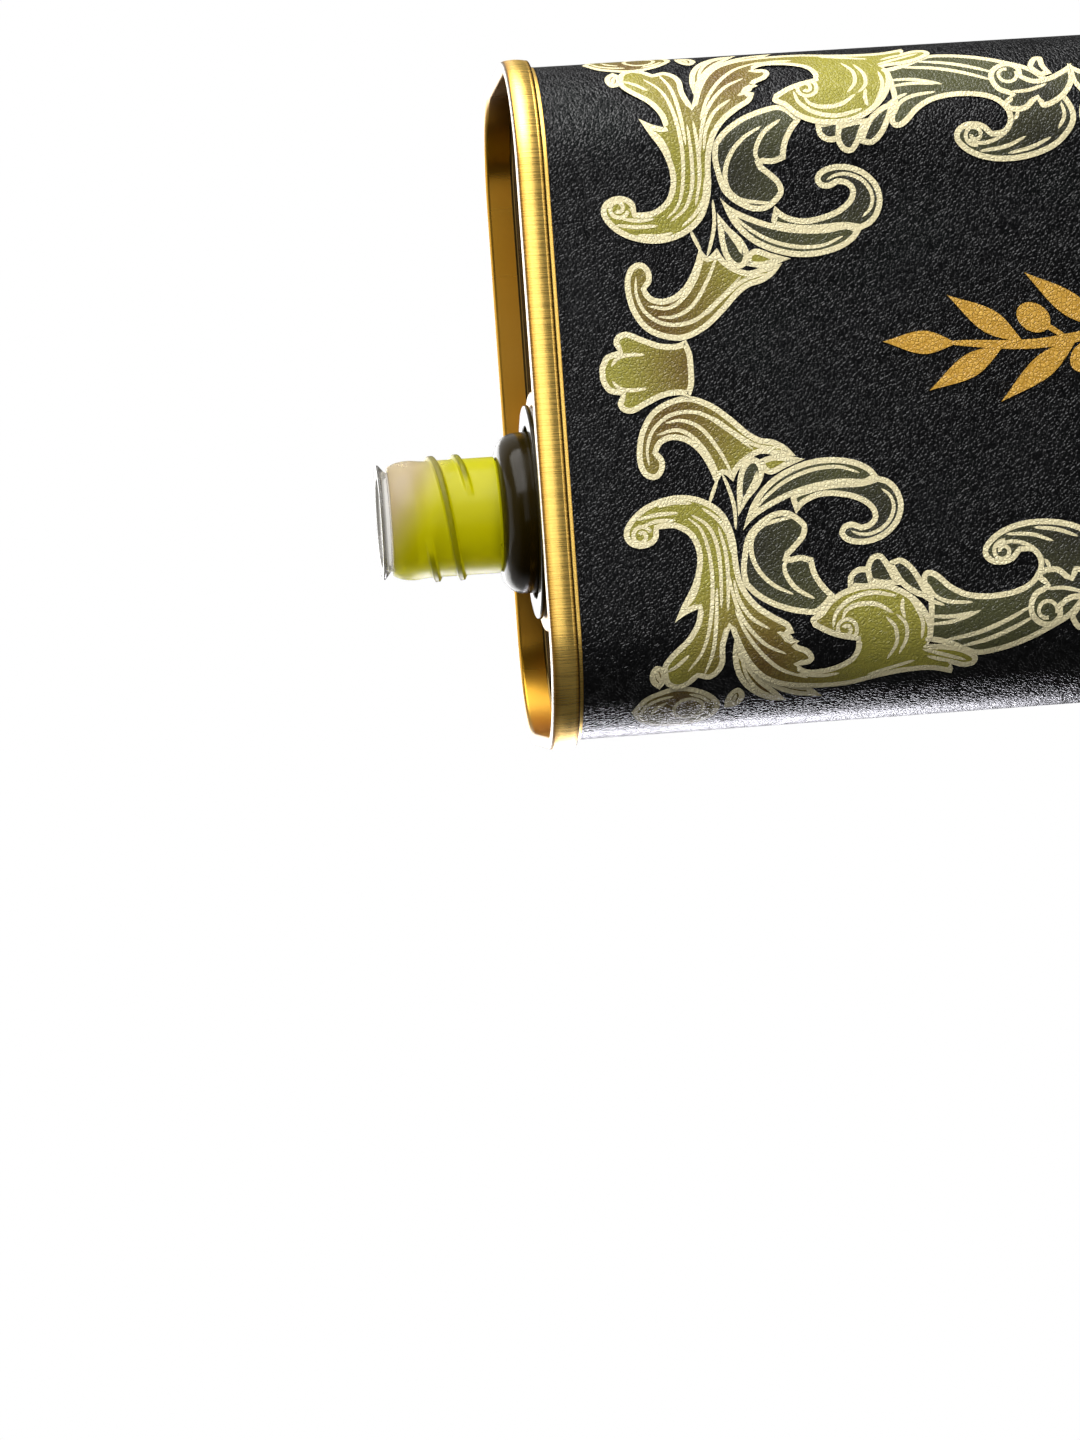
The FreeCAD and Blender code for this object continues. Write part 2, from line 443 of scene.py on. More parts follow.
def collar():
    """Flange over the seal, sleeve through the hole, snap below its edge and ledge for the diaphragm."""
    flange_top = collar_seat + collar_thickness
    snap_top = boss_top - hole_lip - snap_gap
    ledge_low = hinge - ledge_thickness
    return turned("spout_base_collar", [
        (sleeve_bore, flange_top, round_edge),
        (collar_radius, flange_top, flange_edge),
        (collar_radius, collar_seat, crisp_edge),
        (sleeve_radius, collar_seat, crisp_edge),
        (sleeve_radius, snap_top, 0),
        (hole_radius + snap_reach, snap_top, snap_edge),
        (sleeve_radius, snap_top - snap_length, round_edge),
        (sleeve_radius, ledge_low, soft_edge),
        (ledge_radius, ledge_low, fine_edge),
        (ledge_radius, hinge, fine_edge),
        (sleeve_bore, hinge, fine_edge),
    ])


def diaphragm():
    """Bell that stands on the ledge and rolls over when the spout is pushed in."""
    outer = bell_radius
    inner = bell_radius - bell_wall
    crown_high = root - seat_clearance
    crown_low = crown_high - bell_wall
    hole = spigot_radius + seat_clearance
    shoulder = bell_radius - root_radius
    section = bend_path([
        (inner, hinge, foot_edge),
        (bead_radius, hinge, soft_edge),
        (bead_radius, hinge + bead_height, crown_edge),
        (outer, hinge + bead_height, soft_edge),
        (outer, crown_high, shoulder),
        (hole, crown_high, groove_edge),
        (hole, crown_low, groove_edge),
        (inner, crown_low, shoulder - bell_wall),
    ], closed=True)
    rows = []
    for here, after in zip(section, section[1:] + section[:1]):
        steps = max(1, round((after - here).length / bell_wall))
        rows += [spout_row(*here.lerp(after, step / steps)) for step in range(steps)]
    return grid_piece("spout_rolling_bell", rows)


def thread_rise(height, bearing):
    """Height of the screw thread above the neck at a place on it."""
    best = 0.0
    for start in thread_starts:
        for turn in (-360.0, 0.0, 360.0):
            angle = bearing - start + turn
            if not thread_first <= angle <= thread_last:
                continue
            middle = tin_height + thread_top - thread_lead * angle / 360
            off = abs(height - middle) - thread_width / 2 + thread_flank
            flank = min(max(1 - off / thread_flank, 0), 1)
            ends = min(angle - thread_first, thread_last - angle) / thread_run_out
            fade = min(max(ends, 0), 1)
            rise = flank * flank * (3 - 2 * flank) * math.sin(fade * math.pi / 2)
            best = max(best, rise)
    return best * thread_height


def neck():
    """Pouring neck with its flanged spigot and the two starts of its screw thread."""
    groove_low = root - bell_wall - 2 * seat_clearance
    flange_low = groove_low - spigot_flange_height
    section = bend_path([
        (root_radius, root, round_edge),
        (root_radius, root + root_length, swell_bend),
        (bulge_radius, neck_top - bulge_drop, bulge_bend),
        (shoulder_radius, neck_top - shoulder_drop, shoulder_bend),
        (crown_radius, neck_top, crown_edge),
        (bore_radius, neck_top, fine_edge),
        (bore_radius, flange_low, fine_edge),
        (root_radius, flange_low, soft_edge),
        (root_radius, groove_low, groove_edge),
        (spigot_radius, groove_low, crisp_edge),
        (spigot_radius, root, crisp_edge),
    ], closed=True)
    bearings = [360 * step / turn_steps for step in range(turn_steps)]
    rows = []
    for here, after in zip(section, section[1:] + section[:1]):
        steps = max(1, round(abs(after.y - here.y) / row_height)) if here.x > spigot_radius else 1
        for step in range(steps):
            radius, height = here.lerp(after, step / steps)
            threaded = radius > root_radius - row_height and height > root
            row = []
            for bearing in bearings:
                reach = radius + (thread_rise(height, bearing) if threaded else 0)
                angle = math.radians(bearing)
                row.append((spout_x + reach * math.cos(angle), -reach * math.sin(angle), height))
            rows.append(row)
    return grid_piece("spout_threaded_neck", rows)


def mouth_ring():
    """Sleeve in the mouth of the neck with a thin lip flared over its end."""
    foot = neck_top - ring_depth
    mouth = neck_top + lip_overhang
    return turned("spout_mouth_ring", [
        (ring_inner_radius, foot, fine_edge),
        (ring_outer_radius, foot, fine_edge),
        (ring_outer_radius, mouth - lip_rise, lip_bend),
        (lip_radius, mouth - lip_edge, fine_edge),
        (lip_radius, mouth, lip_tip_edge),
        (ring_inner_radius, mouth, mouth_edge),
    ])


# Printed ornament: scrolling acanthus leaves, drawn as (down, across) places on the unrolled wall.
# Down is below the top of the tin, across is round it from the middle of the front.

print_middle = 2.41         # line that the ornament is mirrored about, at the top of the tin
print_lean_share = 0.016    # the line leans across by this much for each length down
print_lift = 0.04           # lowest leaf above the wall
print_layer = 0.010         # one leaf above another
line_lift = 0.0035          # first line above its leaf
line_layers = 0.0035        # last line above the first
print_film = 0.0002         # thickness of the printed film
outline_width = 0.72
rib_width = 0.60
vein_width = 0.50
vein_end_share = 0.12       # of its width, at both ends of a vein or rib
curl_width = 0.50
tip_share = 0.8             # of its width is left at each step by which an outline narrows in a tip
line_spacing = 0.42         # between the points of a drawn line
fill_spacing = 1.0          # between the points inside a leaf on the flat of the wall
bend_spacing = 0.5          # between the points inside a leaf that goes round an upright edge
lower_half_share = 0.89     # length of the lower half of the ornament against the upper half
margin_height = 0.5         # bare gold strip between seam and print
taper_power = 0.4           # how soon a vein reaches its full width
curl_step = 20.0            # degrees between the points of a curl
clear_share = 1 / 3         # of the spacing, kept free along the edge of a leaf
same_place = 1e-6           # points closer than this are one

# Olive sprig in the middle of each broad side, as (up, aside) places from the foot of its stem
sprig_foot = 90.0           # below the top of the tin
sprig_height = 0.12         # raised print above the wall
sprig_layer = 0.002         # one part of it above another
stem_width = 1.3
stalk_width = 0.7
sprig_leaf_width = 2.9
sprig_belly_share = 0.45    # widest place of a leaf, along it
olive_length = 4.6
olive_width = 3.5
olive_points = 24
STEM = [(0, 0), (13, 0.8), (26, -0.6), (37, 0.2)]
SPRIG_LEAVES = [((6, 0.3), (15, 9.5)), ((10, 0.6), (20, -8.2)), ((17, 0.5), (27, 8.4)),
                ((20.5, 0), (31, -7.6)), ((27.5, -0.5), (37, 6.2)), ((30, -0.4), (40, -5.6)),
                ((36, 0.1), (45.5, 0.9))]
OLIVES = [((11.5, 0.8), (15.2, 3.2)), ((15.8, 0.5), (19.8, -2.6)), ((22, -0.2), (26.2, 2.7))]


def leaf(tone, shade, runs, ribs=(), veins=(), curls=()):
    """One leaf: smooth runs that meet in points, ribs, veins, and (centre, radii, start, sweep) curls.

    Each run goes on from the end of the run before it. Shade is where the tone starts and where it ends.
    """
    return {"tone": tone, "shade": shade, "runs": runs, "ribs": ribs, "veins": veins, "curls": curls}


# Shell in the middle of the upper edge
SHELL = leaf("olive", shade=((21, 2.6), (11, 2.6)), runs=[
    [(10.6, 6.3), (11, 7.3), (12.3, 7.7), (14.2, 6.9), (16.4, 6), (18.4, 5.8), (19.7, 6.2)],
    [(20.3, 4.6), (20.4, 2.6), (20.3, 0.6), (19.7, -1)],
    [(18.4, -0.6), (16.4, -0.8), (14.2, -1.7), (12.3, -2.5), (11, -2.1), (10.6, -1.1), (11.1, -0.2)],
    [(9.5, 0.3), (8.7, 1.6), (8.6, 2.6), (8.7, 3.6), (9.5, 4.9), (11.1, 5.4)],
], veins=[
    [(14.4, 4.7), (12.4, 4.8), (11, 4.5), (10.1, 3.5)],
    [(14.4, 0.5), (12.4, 0.4), (11, 0.7), (10.1, 1.7)],
])

LEAVES = [
    # Bowl that goes on round the corner of the tin
    leaf("olive", shade=((16, 45), (12, 54)), runs=[
        [(11.6, 44.2), (13.9, 43.1), (16, 42.7), (18.2, 43.2), (20.2, 44.4), (21.4, 46.3), (20.6, 48.8),
         (17.6, 50.6), (13.8, 50.4), (11.2, 48.6), (10.1, 46.4)],
    ], veins=[
        [(11.2, 47.4), (12, 45.6), (13.6, 44.6), (15.4, 44.2)],
        [(12.6, 47.6), (13.2, 46.2), (14.6, 45.2)],
        [(17.4, 44.1), (19, 44.8), (20.2, 46)],
    ], curls=[
        ((17.4, 46.8), 1.9, 1.9, 0, -360),
    ]),
    # Bud below it
    leaf("olive", shade=((23, 47), (23, 53)), runs=[
        [(22, 45.8), (22.6, 44.4), (23.6, 43.8), (24.4, 44.7), (24.3, 46), (23.4, 47), (22, 47.2)],
    ], veins=[
        [(22.6, 46.7), (23.1, 45.8), (23.4, 44.8)],
    ]),
    # Bud above it
    leaf("olive", shade=((13, 42), (13, 49)), runs=[
        [(12.6, 41.9), (12.4, 40.6), (13.1, 39.5), (14.2, 39.9), (14.5, 41.6), (13.6, 42.9)],
    ], veins=[
        [(13.8, 41.8), (13.4, 41), (13.4, 40.2)],
    ]),
    # Two long tips behind the plume
    leaf("olive", shade=((27, 44), (23, 36)), runs=[
        [(22.9, 39.4), (23.3, 41.6), (24.3, 43.6), (25.8, 45.2), (27.6, 46.4), (29.9, 46.8)],
        [(28.4, 44.8), (26.6, 42.8), (25, 40.4), (23.2, 37)],
    ], veins=[
        [(24, 40), (24.9, 42.6), (26.4, 44.6), (28.2, 45.8)],
    ]),
    leaf("olive", shade=((29, 44), (24, 36)), runs=[
        [(26.6, 42.8), (28.6, 44.7), (31.2, 46), (34.4, 46.6)],
        [(33.4, 45.4), (31.6, 43.8), (28.6, 42), (25, 40)],
    ], veins=[
        [(27.6, 42.8), (29.8, 44.2), (32.2, 45.2)],
    ]),
    # Pair of dark leaves behind the trunk
    leaf("dark", shade=((26, 26), (35, 34)), runs=[
        [(26.2, 32), (28.6, 33.6), (31.6, 34.7), (34, 34.9), (36.3, 32.9)],
        [(34.9, 31.2), (34.1, 29.6), (33.8, 27.9)],
        [(32.2, 27.4), (30.5, 27.6)],
        [(31.8, 26.5), (33, 25.2), (33.3, 23.8), (32.5, 22.7), (31, 21.7), (29.2, 21.7), (27.2, 22.7),
         (25.6, 24.3), (24.9, 26.6), (24.6, 28.6), (24.8, 30.4)],
    ], ribs=[
        [(31, 32.2), (28.6, 30.8), (26.9, 28.9), (26.1, 26.7), (26.3, 24.7), (27.6, 23.3), (29.6, 22.8),
         (31.9, 22.5)],
        [(33.6, 33), (31.4, 31.5), (30.3, 29.8), (30.1, 28.5), (30.9, 27.4)],
    ]),
    # Dark scroll that ends in an open curl
    leaf("dark", shade=((42, 24), (31, 19)), runs=[
        [(33.4, 21), (35.4, 20.4), (37.6, 20.6), (39.8, 21.3), (41.3, 22.4), (41.7, 23.5), (41.1, 24.2),
         (40.2, 24.4)],
        [(39, 23.9), (37.8, 24.2), (37.3, 25.2), (37.9, 26.2), (39.4, 26.8), (41.4, 26.8), (43.5, 26),
         (45.1, 24.4), (45.7, 22.4), (45.2, 20.4), (44.1, 19.1), (42.7, 18.5)],
        [(40.6, 18.9), (37.6, 18.8), (34.4, 19), (31.6, 19.9), (32, 22.2)],
    ], veins=[
        [(38.8, 25), (39.8, 25.5), (41.4, 25.6), (43.4, 24.6), (44.4, 22.8), (44.1, 21.2), (43, 20.1)],
    ]),
    # Long dark leaf under the scroll
    leaf("dark", shade=((26, 22), (37, 17)), runs=[
        [(26.6, 22.3), (28.8, 21.1), (31.6, 20), (34.8, 19.3), (38.2, 19.1), (41, 19.4), (42.8, 18.6)],
        [(41.8, 17.3), (39.8, 16.2), (37, 15.6), (34, 15.7), (31, 16.6), (28.6, 18), (26.5, 20.4),
         (25.2, 23.6)],
    ], veins=[
        [(26.4, 21.7), (28.4, 19.7), (31.2, 17.9), (34.6, 16.9), (37.8, 16.9), (40.4, 17.9)],
    ]),
    # Small bud beside it
    leaf("olive", shade=((33, 20), (29, 16)), runs=[
        [(28.2, 16.5), (29.3, 17), (31.2, 16.3), (33.6, 15.5)],
        [(31.6, 14.9), (29.6, 14.6), (27.8, 15)],
    ]),
    # Scroll next to the shell
    leaf("olive", shade=((17, 9), (29, 15)), runs=[
        [(21.4, 15.4), (20.3, 13.4), (18.8, 12), (17.1, 11.5), (15.8, 11.9), (15.2, 12.8)],
        [(15.9, 13.7), (15.9, 15), (15.2, 16), (14.2, 16.2), (13.2, 15.6), (12.6, 14.2), (12.6, 12.2),
         (13.2, 9.9), (14.6, 7.8), (16.7, 6.6), (19.4, 6.2), (22.2, 7.3), (24.8, 9.4), (26.7, 11.3),
         (28.2, 12.3), (29.8, 12.7), (31.3, 13.6), (32.5, 15)],
        [(30, 14.7), (28.2, 14.3), (26.6, 14.9), (25.2, 16), (24.4, 17.4)],
        [(23.2, 16.4), (22.2, 17.6)],
    ], veins=[
        [(22.6, 16.2), (21.4, 13.6), (19.7, 11.4), (17.8, 10.3), (15.2, 10.7)],
        [(24.4, 16.6), (22.9, 13.4), (20.8, 10.4), (18.5, 9.2), (16.4, 9.3)],
        [(14, 14.4), (13.9, 12.3), (14.9, 9.9), (17.4, 8.3), (20.8, 8.5), (24, 10.8), (27.2, 13.7)],
        [(22.4, 9.1), (25, 11.4), (27.6, 13.2), (30.4, 13.8)],
        [(21.2, 19.8), (21.8, 18.4), (22.4, 17)],
        [(24.3, 23.4), (24.3, 20.6), (23.7, 18), (23.1, 16.4)],
    ]),
    # Dark drop between scroll and trunk
    leaf("dark", shade=((25, 20), (28, 14)), runs=[
        [(26.2, 19.8), (27.7, 18.2), (28.4, 16.4), (27.8, 14.9), (26.6, 14.7), (25.4, 15.9), (24.8, 18.2),
         (24.7, 21.8)],
    ], veins=[
        [(25.9, 19.2), (27, 17.7), (27.5, 16.4)],
    ]),
    # First dark tip under the horn
    leaf("dark", shade=((39, 30), (41, 34)), runs=[
        [(38.1, 30.6), (39.2, 29.7), (40.6, 29.8), (41.4, 31), (41, 32.4), (37.9, 32.2)],
    ]),
    # Dark band that ends in a volute
    leaf("dark", shade=((67, 28), (57, 37)), runs=[
        [(50.2, 40.6), (53.6, 42.3), (56, 42.3), (58.5, 41.8), (61, 41), (63.5, 39.9), (66, 38.6),
         (68.2, 36.4), (70.2, 33.6), (71, 31.4), (70.5, 29.6), (68.4, 27.5), (65.4, 26.3), (62, 25.9),
         (59, 26.3), (56.8, 27.3), (55.4, 28.8), (55.4, 30), (56.3, 30.9), (57.8, 31.2), (59.2, 30.8),
         (60.2, 29.8)],
        [(61.6, 30), (62.3, 31.2), (62, 32.5), (60.7, 33.8), (58.4, 34.5), (55.5, 34.6), (53, 34.1),
         (51.1, 33), (49.8, 31.7), (48.8, 31), (47.8, 31), (47.3, 31.8), (47.5, 33.2), (48, 34.6),
         (47.6, 39.8)],
    ], ribs=[
        [(52, 41), (55.6, 40.3), (58.5, 39.3), (61.2, 38.1)],
        [(49.6, 40), (54, 39.4), (57.5, 38.3), (60.9, 36.8)],
    ], veins=[
        [(48, 37.7), (50.4, 37.7), (52.4, 37.3), (54.6, 36.6)],
        [(48, 36.7), (51, 37), (53.8, 36.7)],
        [(48.1, 32.6), (48.9, 34.2), (50.6, 35.1), (53.6, 35.5)],
        [(62.2, 29.6), (60.4, 28.7), (58.6, 28.4), (57, 29)],
        [(64.4, 28.9), (61.8, 27.8), (58.4, 27.4)],
        [(67.6, 28.6), (65, 27.5), (62, 26.9)],
        [(68.6, 29.6), (69.5, 31.2), (69.3, 33)],
        [(63.1, 31), (63.5, 31.6), (63.7, 32.3)],
    ], curls=[
        ((57.9, 29.5), 1.35, 0.4, -75, -470),
    ]),
    # Second and third dark tip
    leaf("dark", shade=((43, 29), (48, 36)), runs=[
        [(44.8, 29), (46.2, 30), (47.3, 31.8), (48.5, 34.6)],
        [(46.6, 34), (44.6, 32.4), (43, 29.4)],
    ], veins=[
        [(46.6, 33.4), (48.2, 34.7), (50, 35.5)],
    ]),
    leaf("dark", shade=((41, 28), (44, 34)), runs=[
        [(40.3, 29.8), (41.1, 28.4), (42.3, 28.2), (43.3, 29.4), (44.6, 32.4)],
        [(42.6, 32.3), (40.5, 31.8)],
    ]),
    # Small volute, leaf and bud half-way down the long edge
    leaf("dark", shade=((67, 34), (62, 38)), runs=[
        [(62.1, 33.5), (62.1, 32.6), (63.1, 32.1), (64.8, 32.2), (66.3, 33.5)],
        [(66.8, 32.4), (68.4, 32.7), (70.2, 34), (71.4, 36), (71.5, 38.8)],
        [(70, 37.7), (68.2, 36.8), (66.4, 36.5), (65, 37.2)],
        [(64.9, 38.6), (63.6, 39.6), (62, 39.3), (60.8, 38), (60.7, 36.4), (61.5, 35), (63, 34.3)],
    ], veins=[
        [(63, 34.8), (65.4, 34.9), (67.9, 35.7)],
    ], curls=[
        ((63, 37.5), 1.35, 0.9, 20, -300),
    ]),
    leaf("dark", shade=((67, 38), (68, 44)), runs=[
        [(66.2, 39.5), (67, 40.4), (68, 40.3), (68.1, 38.8), (68.8, 37.2)],
        [(67.2, 36.9), (65.8, 38.4)],
    ]),
    # Trunk with its curl, two plumes and the horn that grows from the second
    leaf("olive", shade=((27, 40), (27, 27)), runs=[
        [(14.5, 23.5), (13.7, 24.3), (12.3, 24.6), (10.9, 24.1), (10.2, 23), (10.4, 21.8), (11.4, 20.5),
         (12.9, 19.4), (14.8, 18.7), (17, 18.4), (19.2, 18.7), (21.2, 19.6), (22.8, 21), (23.7, 22.8),
         (24.2, 25), (24.3, 27.4), (24.6, 29.6), (25.3, 31.4), (26.6, 33.1), (28.4, 34.5), (30.2, 35.7),
         (30.8, 37)],
        [(29.8, 37.2), (31.4, 38.1)],
        [(31, 38.4), (32.6, 39.3), (33.2, 40.4), (32.7, 41.2), (31.2, 41.3)],
        [(32.4, 42), (34.2, 42.1), (36.2, 41.7), (37.8, 40.9), (38.5, 39.8), (38.6, 38.8)],
        [(36.7, 38.3), (35, 37.6), (33.2, 36.5)],
        [(32.9, 35.5), (34.2, 34.7)],
        [(35.6, 33.2), (37.6, 32.2), (40.2, 31.8), (43, 32.1), (45.4, 33.3), (47.3, 35.2), (48.3, 37.5),
         (48.3, 39.3), (47.7, 40.2)],
        [(50.2, 40.5), (52.6, 41.3), (54.1, 42.6), (53.7, 43.7), (52.2, 43.9), (50.7, 43.3)],
        [(51, 44), (50.8, 44.7)],
        [(48.2, 43.9), (45, 43.8), (41.5, 44.2), (38, 44.9), (35, 45), (32, 44.7), (29, 44), (26.6, 42.7),
         (24.8, 40.6), (23.5, 38), (22.7, 35.6)],
        [(22, 37.8), (21.9, 39.8), (21.2, 41.2), (19.9, 42), (18.5, 41.6)],
        [(17.3, 42.6), (15.7, 43), (14.4, 42.2), (14, 40.8), (14.1, 39.3), (15.3, 37.9), (17.1, 36.4),
         (18.4, 34.6), (18.9, 32.8)],
        [(17.4, 33.3), (15.8, 34.2)],
        [(16.9, 32.1), (18.3, 29.8), (19.1, 27.4), (19.1, 25.4), (18.3, 23.6), (16.6, 22.5), (14.6, 22.4)],
    ], ribs=[
        [(43.4, 35.8), (41.4, 34.5), (39, 34.3), (37.5, 34.9), (36.9, 36)],
        [(44, 33.7), (40.8, 33), (38, 33.6), (36.2, 35.1), (35.7, 36.8)],
    ], veins=[
        [(19.3, 41.2), (20.4, 38.4), (21, 34.8), (21.4, 30.4)],
        [(17.2, 40.6), (19.2, 38), (20.4, 34), (20.9, 29.2), (20.6, 25.2), (19.8, 22.8), (18.4, 21.4)],
        [(21.8, 33), (22, 28.6), (21.8, 25.2), (20.8, 22.6), (18.8, 21)],
        [(22.6, 33.4), (22.9, 29.2), (22.8, 26), (22.1, 22.8)],
        [(29.7, 39.6), (27, 38), (24.6, 35), (23.5, 32), (23, 28.8)],
        [(27.7, 36.2), (25.5, 34.6), (24.1, 32.2), (23.6, 29.6)],
        [(32.4, 43.2), (29, 41.6), (26.4, 39), (24.6, 36.2), (23.5, 33.4)],
        [(30.6, 37.6), (29.6, 37.1), (28.6, 36.7)],
        [(36.4, 43), (34.2, 43.1), (31, 42.5)],
        [(14.6, 40.4), (16, 39.6), (17.4, 38.4)],
        [(17, 32.7), (18.4, 31.2), (19.4, 29)],
        [(16.8, 21.5), (14.6, 21.4), (12.6, 21.8)],
        [(17.2, 20.6), (14.4, 20.6), (12, 21)],
        [(19, 19.6), (16.8, 19.3), (14.6, 19.6)],
        [(23.5, 26.2), (23.2, 23.8), (22, 21.8), (20.2, 20.3)],
        [(42.5, 41.6), (43.7, 39.6), (43.6, 37.6), (42.5, 36.2)],
        [(44, 41.1), (45, 39), (44.9, 37.2), (43.8, 36)],
        [(46.9, 39.4), (47.1, 37.3), (46.3, 35.2), (45.4, 33.9)],
        [(44.9, 36.6), (44.6, 35.4), (44.8, 34)],
        [(52.6, 42.9), (50, 41.9), (47, 40.8)],
        [(51.4, 43), (49.2, 42.4), (47.6, 41.8)],
        [(46, 42.2), (43, 42.9), (40, 43.6)],
    ], curls=[
        ((12.35, 23.05), 1.3, 0.35, -20, -470),
        ((37.3, 37.2), 1.55, 0.3, 60, -560),
    ]),
]


def smooth_run(points):
    """Smooth line through given points, divided evenly."""
    spots = [Vector(point) for point in points]
    spots = [2 * spots[0] - spots[1]] + spots + [2 * spots[-1] - spots[-2]]
    drawn = []
    for before, start, end, after in zip(spots, spots[1:], spots[2:], spots[3:]):
        span = (end - start).length
        leave = (end - before) * (span / ((start - before).length + span))
        arrive = (after - start) * (span / ((after - end).length + span))
        steps = max(2, math.ceil(span / line_spacing))
        for step in range(steps):
            t = step / steps
            drawn.append((2 * t ** 3 - 3 * t ** 2 + 1) * start + (t ** 3 - 2 * t ** 2 + t) * leave
                         + (3 * t ** 2 - 2 * t ** 3) * end + (t ** 3 - t ** 2) * arrive)
    return drawn + [spots[-2]]


def curl_line(centre, first, last, start, sweep):
    """Spiral line that winds in towards its middle."""
    steps = round(abs(sweep) / curl_step)
    line = []
    for step in range(steps + 1):
        share = step / steps
        angle = math.radians(start + sweep * share)
        radius = first + (last - first) * share
        line.append(Vector(centre) + Vector((math.cos(angle), math.sin(angle))) * radius)
    return line


def inside(spot, loop):
    """Whether a place lies inside a closed line."""
    odd = False
    for first, second in zip(loop, loop[1:] + loop[:1]):
        if (first.y > spot.y) != (second.y > spot.y):
            odd ^= spot.x < first.x + (second.x - first.x) * (spot.y - first.y) / (second.y - first.y)
    return odd


def filled(loop):
    """Places and triangles that fill a closed line."""
    low = Vector((min(spot.x for spot in loop), min(spot.y for spot in loop)))
    high = Vector((max(spot.x for spot in loop), max(spot.y for spot in loop)))
    on_flat = max(high.y, -low.y) < flat_x - 2 * print_middle
    spacing = fill_spacing if on_flat else bend_spacing
    spots = list(loop)
    for row in range(1, math.ceil((high.y - low.y) / spacing)):
        for step in range(1, math.ceil((high.x - low.x) / spacing)):
            spot = low + Vector((step + (row % 2) / 2, row)) * spacing
            clear = min((spot - edge).length for edge in loop) > spacing * clear_share
            if clear and inside(spot, loop):
                spots.append(spot)
    edges = [(index, (index + 1) % len(loop)) for index in range(len(loop))]
    inside_only = 1
    places, _, triangles, *_ = delaunay_2d_cdt(spots, edges, [], inside_only, same_place)
    return places, triangles


def ribbon(line, width, tapered=True):
    """Places and faces of a drawn line of some width."""
    count = len(line)
    places = []
    for index, here in enumerate(line):
        along = (line[min(index + 1, count - 1)] - line[max(index - 1, 0)]).normalized()
        share = index / (count - 1)
        belly = (4 * share * (1 - share)) ** taper_power
        swell = vein_end_share + (1 - vein_end_share) * belly if tapered else 1
        side = Vector((-along.y, along.x)) * (swell * width / 2)
        places += [here - side, here, here + side]
    return places, lane_faces(count - 1, 3 * count)


def lane_faces(steps, points):
    """Faces of a line drawn with three points abreast."""
    faces = []
    for step in range(steps):
        for lane in (3 * step, 3 * step + 1):
            faces.append((lane, (lane + 3) % points, (lane + 4) % points, lane + 1))
    return faces


def border(loop):
    """Places and faces of a leaf's outline, drawn along the inside of its edge and narrower in its tips."""
    count = len(loop)
    turn = sum(first.cross(second) for first, second in zip(loop, loop[1:] + loop[:1]))
    edge = KDTree(count)
    for index, here in enumerate(loop):
        edge.insert(here.to_3d(), index)
    edge.balance()
    places = []
    for index, here in enumerate(loop):
        along = (loop[(index + 1) % count] - loop[index - 1]).normalized()
        inward = Vector((-along.y, along.x)) * math.copysign(outline_width, turn)
        while inward.length > print_film:
            if edge.find((here + inward).to_3d())[2] >= tip_share * inward.length:
                break
            inward *= tip_share
        places += [here, here + inward / 2, here + inward]
    return places, lane_faces(count, 3 * count)


def drawn_leaves():
    """Fill and lines of each leaf in the plane of the unrolled wall."""
    drawings = []
    for order, plan in enumerate(LEAVES + [SHELL]):
        start = plan["runs"][-1][-1]
        loop = []
        for run in plan["runs"]:
            loop += smooth_run([start] + run)[:-1]
            start = run[-1]
        lines = [border(loop)]
        lines += [ribbon(smooth_run(rib), rib_width) for rib in plan["ribs"]]
        lines += [ribbon(smooth_run(vein), vein_width) for vein in plan["veins"]]
        lines += [ribbon(curl_line(*curl), curl_width, tapered=False) for curl in plan["curls"]]
        drawings.append({
            "tone": plan["tone"], "shade": [Vector(spot) for spot in plan["shade"]],
            "fill": filled(loop), "lines": lines, "lift": print_lift + order * print_layer,
            "mirrored": (False,) if plan is SHELL else (False, True),
        })
    return drawings


def laid(spot, mirrored, lower, back):
    """Place on the unrolled wall for one copy of the ornament."""
    down, across = spot
    if mirrored:
        across = 2 * (print_middle + print_lean_share * down) - across
    if lower:
        down = tin_height - seam_height - (down - seam_height) * lower_half_share
    return down, across + (half_girth if back else 0)


def film(name, sheets, thickness=print_film):
    """Thin closed piece on the wall from (places, faces, lift) sheets."""
    points = []
    faces = []
    for places, sheet_faces, lift in sheets:
        start = len(points)
        count = len(places)
        for height in (lift, lift - thickness):
            for down, across in places:
                spot, outward = girth_place(across)
                points.append((*(spot + outward * height), tin_height - down))
        edges = {(a, b) for face in sheet_faces for a, b in zip(face, (*face[1:], face[0]))}
        rims = [(a, b, b + count, a + count) for a, b in edges if (b, a) not in edges]
        unders = [[corner + count for corner in reversed(face)] for face in sheet_faces]
        faces += [[start + corner for corner in face] for face in (*sheet_faces, *unders, *rims)]
    return new_piece(name, points, faces)


